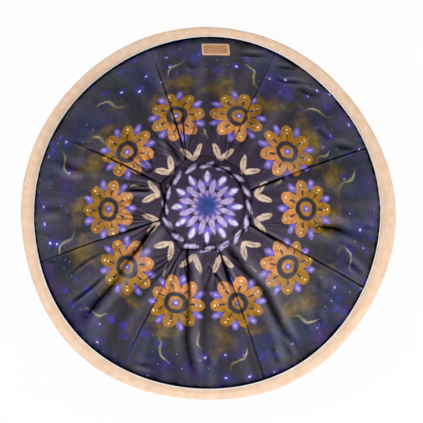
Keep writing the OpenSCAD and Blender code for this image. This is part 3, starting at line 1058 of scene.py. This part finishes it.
class HANDPAN_OT_printed_cloth(bpy.types.Operator):
    """Stretch the printed cloth over the dome, with its darts, folds and creases"""

    bl_idname = "handpan.printed_cloth"
    bl_label = "Printed cloth"

    def execute(self, context):
        cloth = Cloth()
        form = cloth.form
        columns = cloth.COLUMNS_PER_GORE * len(DARTS)
        bm = spun([(r, form.height(r)) for r in cloth.rings()], columns // WEDGES)
        # The crease layer carries painted shade, and painted highlight where it is below 0, into
        # the cloth's colour
        crease = bm.verts.layers.float.new("crease")
        mark = bm.verts.layers.float.new("column")
        facing_up(bm)
        for v in bm.verts:
            r = v.co.to_2d().length
            column = round(math.atan2(v.co.y, v.co.x) / math.tau * columns) % columns
            angle = cloth.column_turn(column, r)
            gore = column // cloth.COLUMNS_PER_GORE
            off, v[crease] = cloth.relief(r, gore, angle, band_inner_r(angle))
            v[mark] = column
            v.co = form.at(r, angle, off)
        self.lay_print(bm, cloth, mark)
        width = cloth.width
        dyed = printed_cloth(width)
        piece = finished("printed_cloth", bm, "cover", "printed_fabric", dyed, "printed_panel")
        return {"FINISHED"}

    def lay_print(self, bm, cloth, mark):
        """Lays the cloth out as its flat cut, so that the print follows it."""
        layer = bm.loops.layers.uv.new("cloth")
        for face in bm.faces:
            # The gore is that of the face's lower column, leaving the axis out
            marks = [v[mark] for v in face.verts if v.co.to_2d().length > MM]
            low = max(marks) if max(marks) - min(marks) > 1.5 else min(marks)
            gore = int(low) // cloth.COLUMNS_PER_GORE
            for loop in face.loops:
                r = loop.vert.co.to_2d().length
                angle = math.atan2(loop.vert.co.y, loop.vert.co.x)
                from_middle = cloth.form.reach(r) / cloth.width
                flat = polar(from_middle, cloth.print_turn(gore, r, angle))
                loop[layer].uv = flat + Vector((0.5, 0.5))


# ---------------------------------------------------------------- rim band


def band_inner_r(angle):
    """Radius of the band's inner edge, which wanders with the sewing."""
    return PIPING_R + wander(OUTLINE_WANDER, angle) - wander(BAND_WANDER, angle)


def sewn(point, form):
    """Where a point of the even band goes on the hand-sewn one."""
    flat = point.to_2d()
    r, angle = flat.length, math.atan2(flat.y, flat.x)
    whole = smooth((r - 0.93 * RIM_R) / (0.04 * RIM_R)) * wander(OUTLINE_WANDER, angle)
    # The inner edge goes its own way, and climbs the shoulder where the band is wide
    share = smooth((BAND_OUT_R - 5 * MM - r) / (BAND_OUT_R - 5 * MM - PIPING_R))
    inner_r = band_inner_r(angle)
    new_r = r + whole * (1 - share) + share * (inner_r - PIPING_R)
    climb = share * (form.height(inner_r) - form.flange_z)
    at = polar(new_r, angle)
    return Vector((at.x, at.y, point.z + climb))


def sew(bm, form):
    """Moves all points of an even ring to where they go on the hand-sewn band."""
    for v in bm.verts:
        v.co = sewn(v.co, form)


def nose():
    """The round outer edge of band and hem: its centre, radius, and slope where they meet."""
    radius = (BAND_TOP - HEM_BOTTOM) / 2
    centre = (BAND_OUT_R - radius, HEM_BOTTOM + radius)
    return centre, radius, math.pi / 2 + math.asin((centre[1] - HEM_TOP) / radius)


def felt():
    """Pressed wool-blend felt with a brushed, suede-like face.

    It is matt and warm, mottled by the nap lying both ways, with faint lines along the band
    where it was cut and pulled round the rim.
    """
    f = settings().finish
    material, tree, shader = new_material("brushed_felt")
    place = node(tree, "TexCoord", out="Object")
    level = node(tree, "SeparateXYZ", {0: place}, out="Z")
    flat = node(tree, "VectorMath", {0: place, 1: (1, 1, 0)}, operation="MULTIPLY")
    from_axis = node(tree, "VectorMath", {0: flat}, out="Value", operation="LENGTH")
    along = {0: round_turn(tree, place), 1: from_axis, 2: level}
    drawn = node(tree, "CombineXYZ", along)
    # Lines along the band are 1 to 2 mm apart and run for tens of millimetres
    stretched = node(tree, "VectorMath", {0: drawn, 1: (6, 500, 500)}, operation="MULTIPLY")
    lines = node(tree, "TexNoise", {"Vector": stretched, "Scale": 1.0, "Detail": 2.0})
    # Mottling is about 12 mm across
    nap = node(tree, "TexNoise", {"Vector": place, "Scale": 80.0, "Detail": 3.0})
    both = node(tree, "Mix", {0: 0.35, 2: nap, 3: lines})
    shade = node(tree, "MapRange", {0: both, 1: 0.38, 2: 0.64})
    # Fibres are drawn half a millimetre long
    fibres = node(tree, "TexNoise", {"Vector": place, "Scale": 1900.0, "Detail": 2.0})
    soft = node(tree, "Bump", {"Height": both, "Distance": 0.5 * MM, "Strength": 0.4})
    hairy = {"Height": fibres, "Distance": 0.15 * MM, "Strength": 0.5, "Normal": soft}
    surface = {
        "Base Color": node(tree, "Mix", {0: shade, 6: f.felt, 7: f.felt_shade}, **BLEND),
        "Roughness": 0.95,
        "Specular IOR Level": 0.2,
        "Sheen Weight": 0.15,
        "Sheen Roughness": 0.6,
        "Normal": node(tree, "Bump", hairy),
    }
    fill(tree, shader, surface)
    return material


def plain_yarn(name, paint, rough):
    """Twisted cotton yarn or braid: matt, with strands that catch the light side by side."""
    material, tree, shader = new_material(name)
    place = node(tree, "TexCoord", out="Object")
    # Strands lie about 0.7 mm apart
    strands = node(tree, "TexNoise", {"Vector": place, "Scale": 1400.0, "Detail": 2.0})
    surface = {
        "Base Color": uneven(tree, paint, strands, 0.92, 1.0),
        "Roughness": rough,
        "Specular IOR Level": 0.25,
        "Normal": node(tree, "Bump", {"Height": strands, "Distance": 0.12 * MM, "Strength": 0.6}),
    }
    fill(tree, shader, surface)
    return material


class HANDPAN_OT_rim_band(bpy.types.Operator):
    """Wrap the felt band round the rim, with its piping and its row of stitches"""

    bl_idname = "handpan.rim_band"
    bl_label = "Rim band"

    WEDGE_STEPS = 17
    LUMPS_SEED = 1

    def execute(self, context):
        self.c = settings().cover
        self.form = Dome(self.c.gap)
        self.add_band()
        self.add_piping()
        self.add_stitches()
        return {"FINISHED"}

    def add_band(self):
        """The felt: flat against the rim inside, folded at its inner edge and round outside."""
        nose_c, nose_r, nose_end = nose()
        wall_r = RIM_R + 0.4 * MM
        fold = 1.1 * MM
        top = [PIPING_R + fold + (nose_c[0] - PIPING_R - fold) * i / 8 for i in range(1, 8)]
        line = [(wall_r, HEM_TOP), (wall_r, self.form.flange_z), (PIPING_R, self.form.flange_z)]
        line += arc((PIPING_R + fold, BAND_TOP - fold), fold, -math.pi / 2, 0, 4)
        line += [(r, BAND_TOP + 0.5 * MM * hill(2 * i / 7 - 1)) for i, r in enumerate(top)]
        line += arc(nose_c, nose_r, 0, nose_end, 14)
        bm = spun(line, self.WEDGE_STEPS, closed=True)
        sew(bm, self.form)
        # Without a seed of its own, noise_vector would follow the time of day
        noise.seed_set(self.LUMPS_SEED)
        for v in bm.verts:
            v.co += 0.3 * MM * noise.noise_vector(v.co / (22 * MM))
        band = finished("rim_band_felt", bm, "cover", "felt_band", felt(), "rim_band")

    def add_piping(self):
        """A round cord along the band's inner edge."""
        half = self.c.piping_d / 2
        ring = arc((PIPING_R - half, BAND_TOP - half), half, 0, math.tau, 12)[1:]
        bm = spun(ring, self.WEDGE_STEPS, closed=True)
        sew(bm, self.form)
        yarn = plain_yarn("cotton_piping", settings().finish.piping, 0.8)
        piping = finished("edge_piping_cord", bm, "cover", "piping", yarn, "edge_piping")

    def add_stitches(self):
        """One stitch of a few dozen faces, half sunk in the felt, repeated round the band."""
        row_r = PIPING_R + 4 * MM
        bm = bmesh.new()
        size = Matrix.Diagonal((self.c.thread_d / 2, self.c.stitch_l / 2, self.c.thread_d / 2, 1))
        place = Matrix.Translation((row_r, 0, BAND_TOP + 0.25 * MM))
        bmesh.ops.create_uvsphere(bm, u_segments=6, v_segments=6, radius=1, matrix=place @ size)
        repeat_round(bm, round(math.tau * row_r / self.c.stitch_pitch))
        sew(bm, self.form)
        yarn = plain_yarn("sewing_thread", settings().finish.thread, 0.7)
        finished("band_stitches", bm, "cover", "felt_band", yarn)


# ---------------------------------------------------------------- hem


def hem_knit():
    """Rib knit of cotton and elastane, gathered: matt, with ribs that run down over the hem."""
    material, tree, shader = new_material("rib_knit")
    place = node(tree, "TexCoord", out="Object")
    # Ribs are drawn 1.2 mm apart round the hem
    per_turn = math.tau * RIM_R / (1.2 * MM)
    turns = node(tree, "Math", {0: round_turn(tree, place), 1: per_turn}, operation="MULTIPLY")
    ribs = node(tree, "Math", {0: turns}, operation="SINE")
    # Wear is in clouds about 17 mm across
    wear = node(tree, "TexNoise", {"Vector": place, "Scale": 60.0, "Detail": 3.0})
    surface = {
        "Base Color": uneven(tree, settings().finish.hem, wear, 0.85, 1.05),
        "Roughness": 0.9,
        "Specular IOR Level": 0.2,
        "Normal": node(tree, "Bump", {"Height": ribs, "Distance": 0.15 * MM, "Strength": 0.5}),
    }
    fill(tree, shader, surface)
    return material


class HANDPAN_OT_hem(bpy.types.Operator):
    """Gather the hem under the rim over its elastic"""

    bl_idname = "handpan.hem"
    bl_label = "Hem"

    def execute(self, context):
        form = Dome(settings().cover.gap)
        nose_c, nose_r, nose_end = nose()
        tube_r = (HEM_TOP - HEM_BOTTOM) / 2
        elastic_r = (ELASTIC[1].z - ELASTIC[0].z) / 2
        tube_c = (ELASTIC[1].x - elastic_r, HEM_BOTTOM + tube_r)
        run = [tube_c[0] + (nose_c[0] - tube_c[0]) * i / 5 for i in range(1, 5)]
        line = [(r, HEM_TOP) for r in run]
        line += arc(nose_c, nose_r, nose_end, math.pi, 8)
        line += [(r, HEM_BOTTOM) for r in reversed(run)]
        line += arc(tube_c, tube_r, math.pi, math.tau, 10)
        bm = spun(line, 30, closed=True)
        for v in bm.verts:
            flat = v.co.to_2d()
            angle = math.atan2(flat.y, flat.x)
            drawn = smooth((BAND_OUT_R - flat.length) / (6 * MM))
            drawn *= smooth((HEM_TOP - v.co.z) / (2 * MM))
            gather = math.cos(118 * angle + 2.5 * noise.noise((11 * angle, 0, 0)))
            v.co = sewn(v.co, form)
            v.co.z -= 0.9 * MM * drawn * (0.5 + 0.5 * gather)
            inward = smooth((tube_c[0] - flat.length) / (2 * MM))
            v.co += 0.5 * MM * inward * gather * Vector((math.cos(angle), math.sin(angle), 0))
        hem = finished("hem_knit", bm, "cover", "hem_fabric", hem_knit(), "hem_casing")
        return {"FINISHED"}


# ---------------------------------------------------------------- leather tag


def tag_leather():
    """Vegetable-tanned cowhide, die-cut: warm tan with a satin finish, paler at its cut margin."""
    f = settings().finish
    material, tree, shader = new_material("vegetable_tanned_leather")
    place = node(tree, "TexCoord", out="Object")
    # Tanning leaves clouds about 10 mm across
    clouds = node(tree, "TexNoise", {"Vector": place, "Scale": 110.0, "Detail": 4.0})
    spots = node(tree, "MapRange", {0: clouds, 1: 0.35, 2: 0.7, 3: 0.0, 4: 0.35})
    rub = node(tree, "Attribute", out="Fac", attribute_name="rub")
    share = node(tree, "Math", {0: spots, 1: rub}, operation="MAXIMUM")
    # Pebbles of the grain are 0.8 mm across
    pebbles = node(tree, "TexVoronoi", {"Vector": place, "Scale": 1200.0})
    surface = {
        "Base Color": node(tree, "Mix", {0: share, 6: f.leather, 7: f.leather_rub}, **BLEND),
        "Roughness": 0.55,
        "Normal": node(tree, "Bump", {"Height": pebbles, "Distance": 0.1 * MM, "Strength": 0.4}),
    }
    fill(tree, shader, surface)
    return material


class HANDPAN_OT_leather_tag(bpy.types.Operator):
    """Sew the bare leather tag on the cloth near the rim"""

    bl_idname = "handpan.leather_tag"
    bl_label = "Leather tag"

    def execute(self, context):
        c = settings().cover
        form = Dome(c.gap + c.lift)
        bm = self.flat_tag(c)
        fall = math.cos(form.slope(c.tag_ring_r))
        sunk = 0.2 * MM
        for v in bm.verts:
            flat = Matrix.Rotation(c.tag_lean, 2) @ v.co.to_2d()
            # The tag stays a true rectangle seen from above, X to its right and Y outwards
            at = Matrix.Rotation(c.tag_turn, 2) @ Vector((c.tag_ring_r + flat.y * fall, -flat.x))
            v.co = form.at(at.length, math.atan2(at.y, at.x), c.tag_t - sunk + v.co.z)
        facing_up(bm)
        tag = finished("leather_tag_plain", bm, "cover", "leather", tag_leather(), "leather_tag")
        wall = tag.modifiers.new("hide", "SOLIDIFY")
        wall.thickness = c.tag_t
        wall.offset = -1
        edge = tag.modifiers.new("burnished_edge", "BEVEL")
        edge.width = 0.35 * MM
        edge.segments = 2
        edge.limit_method = "ANGLE"
        return {"FINISHED"}

    def flat_tag(self, c):
        """The tag laid flat: round-cornered, with a raised margin, and cut up so that it bends."""
        bm = bmesh.new()
        size = Matrix.Diagonal((c.tag_w, c.tag_h, 1, 1))
        bmesh.ops.create_grid(bm, x_segments=1, y_segments=1, size=0.5, matrix=size)
        corners = {"offset": 2 * MM, "offset_type": "OFFSET", "segments": 5, "profile": 0.5}
        bmesh.ops.bevel(bm, geom=bm.verts[:], affect="VERTICES", material=-1, **corners)
        bmesh.ops.inset_region(bm, faces=bm.faces[:], thickness=c.tag_rim)
        for across, width, strips in (((1, 0, 0), c.tag_w, 20), ((0, 1, 0), c.tag_h, 12)):
            for i in range(1, strips):
                at = Vector(across) * (width * (i / strips - 0.5))
                bmesh.ops.bisect_plane(bm, geom=everything(bm), plane_co=at, plane_no=across)
        rub = bm.verts.layers.float.new("rub")
        for v in bm.verts:
            from_edge = min(c.tag_w / 2 - abs(v.co.x), c.tag_h / 2 - abs(v.co.y))
            v[rub] = smooth((c.tag_rim * 1.05 - from_edge) / (0.3 * MM))
            v.co.z = -0.25 * MM * (1 - v[rub])
        return bm


# ---------------------------------------------------------------- pieces kept from the frame


class HANDPAN_OT_kept_pieces(bpy.types.Operator):
    """Give the adhesive and the elastic, which keep their own shape, their finishes"""

    bl_idname = "handpan.kept_pieces"
    bl_label = "Adhesive and elastic"

    def execute(self, context):
        f = settings().finish
        elastic = plain_yarn("covered_elastic", f.elastic, 0.75)
        for name, material in (("rim_bond", self.cured_glue()), ("hem_elastic", elastic)):
            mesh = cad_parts[name].data
            mesh.materials.clear()
            mesh.materials.append(material)
        return {"FINISHED"}

    def cured_glue(self):
        """Two-part epoxy, squeezed out and cured: nearly black, glossy, with a wavy skin."""
        material, tree, shader = new_material("cured_epoxy")
        place = node(tree, "TexCoord", out="Object")
        # The skin waves every 6 mm or so
        waves = node(tree, "TexNoise", {"Vector": place, "Scale": 160.0, "Detail": 2.0})
        surface = {
            "Base Color": uneven(tree, settings().finish.glue, waves, 0.7, 1.3),
            "Roughness": 0.3,
            "Normal": node(tree, "Bump", {"Height": waves, "Distance": 0.2 * MM, "Strength": 0.5}),
        }
        fill(tree, shader, surface)
        return material


# ---------------------------------------------------------------- stage


class HANDPAN_OT_stage(bpy.types.Operator):
    """Set the pale floor, the soft studio light and the camera over the instrument"""

    bl_idname = "handpan.stage"
    bl_label = "Stage"

    def execute(self, context):
        self.add_floor()
        self.light_world()
        self.add_lamp("key", (1.1, -1.2, 1.6), size=0.8, watts=19)
        self.add_lamp("fill", (-1.6, -0.2, 1.6), size=1.4, watts=11)
        self.add_camera()
        context.scene.view_settings.view_transform = "Standard"
        return {"FINISHED"}

    def seen(self, tree):
        """1 for the rays that the camera sees itself, in a mirror or through glass."""
        path = node(tree, "LightPath").node.outputs
        rays = path["Is Camera Ray"]
        for kind in ("Is Glossy Ray", "Is Transmission Ray"):
            rays = node(tree, "Math", {0: rays, 1: path[kind]}, operation="MAXIMUM")
        return rays

    def add_floor(self):
        """White paper that the camera sees nearly clipped, but with the shadow on it."""
        material, tree, shader = new_material("white_paper")
        fill(tree, shader, {"Base Color": "F4F4F4", "Roughness": 0.9})
        glow = node(tree, "Emission", {"Color": "FFFFFF", "Strength": 1.0})
        share = node(tree, "Math", {0: self.seen(tree), 1: 0.95}, operation="MULTIPLY")
        mixed = node(tree, "MixShader", {0: share, 1: shader.outputs[0], 2: glow})
        fill(tree, tree.nodes["Material Output"], {"Surface": mixed})
        bm = bmesh.new()
        bmesh.ops.create_grid(bm, x_segments=1, y_segments=1, size=6)
        solid("floor", bm, material)

    def light_world(self):
        """An even white room, dimmer in the light that it sheds than where it is seen."""
        world = bpy.data.worlds.new("soft_room")
        bpy.context.scene.world = world
        world.use_nodes = True
        tree = world.node_tree
        level = node(tree, "MapRange", {0: self.seen(tree), 3: 0.55, 4: 1.0})
        room = node(tree, "Background", {"Color": "FFFFFF", "Strength": level})
        fill(tree, tree.nodes["World Output"], {"Surface": room})

    def add_lamp(self, name, place, size, watts):
        """A round lamp that looks at the middle of the band."""
        lamp = bpy.data.lights.new(name, "AREA")
        lamp.shape = "DISK"
        lamp.size = size
        lamp.energy = watts
        place = Vector(place)
        self.aim(placed(name, lamp), place, Vector((0, 0, BAND_TOP)) - place)

    def add_camera(self):
        """Looks down on the rim from 85 degrees up, so that it fills 0.885 of the view's width."""
        tilt, distance, filled = math.radians(85), 1.5, 0.885
        lens = bpy.data.cameras.new("camera")
        camera = placed("camera", lens)
        target = Vector((0, 0, (BAND_TOP + HEM_BOTTOM) / 2))
        back = Vector((0, -math.cos(tilt), math.sin(tilt)))
        self.aim(camera, target + distance * back, -back)
        lens.sensor_width = 36
        lens.lens = lens.sensor_width * distance * filled / (2 * BAND_OUT_R)
        # The instrument lies a little to the left of the view's middle
        lens.shift_x = 0.0102
        lens.shift_y = 0.0013
        bpy.context.scene.camera = camera

    def aim(self, holder, place, way):
        """Puts a lamp or the camera in its place, looking along a way."""
        holder.location = place
        holder.rotation_euler = way.to_track_quat("-Z", "Y").to_euler()


# ---------------------------------------------------------------- panel and registration


OPERATORS = (
    HANDPAN_OT_steel_shells,
    HANDPAN_OT_printed_cloth,
    HANDPAN_OT_rim_band,
    HANDPAN_OT_hem,
    HANDPAN_OT_leather_tag,
    HANDPAN_OT_kept_pieces,
    HANDPAN_OT_stage,
)


class HANDPAN_PT_panel(bpy.types.Panel):
    """Lists the sizes, the colours and the pieces"""

    bl_idname = "HANDPAN_PT_panel"
    bl_label = "Handpan"
    bl_space_type = "VIEW_3D"
    bl_region_type = "UI"
    bl_category = "Handpan"

    def draw(self, context):
        for name in HandpanSettings.__annotations__:
            box, group = self.layout.box(), getattr(settings(), name)
            for size in group.__annotations__:
                box.prop(group, size)
        for operator in OPERATORS:
            self.layout.operator(operator.bl_idname)


CLASSES = (
    ShellSizes,
    CoverSizes,
    PrintColours,
    FinishColours,
    HandpanSettings,
    *OPERATORS,
    HANDPAN_PT_panel,
)


def register():
    """Registers the settings, the operators and the panel."""
    for cls in CLASSES:
        bpy.utils.register_class(cls)
    bpy.types.Scene.handpan = PointerProperty(type=HandpanSettings)


def unregister():
    """Takes all of them out again."""
    del bpy.types.Scene.handpan
    for cls in reversed(CLASSES):
        bpy.utils.unregister_class(cls)


def main():
    """Builds every piece in order."""
    register()
    bpy.ops.handpan.steel_shells()
    bpy.ops.handpan.printed_cloth()
    bpy.ops.handpan.rim_band()
    bpy.ops.handpan.hem()
    bpy.ops.handpan.leather_tag()
    bpy.ops.handpan.kept_pieces()
    bpy.ops.handpan.stage()


if __name__ == "__main__":
    main()
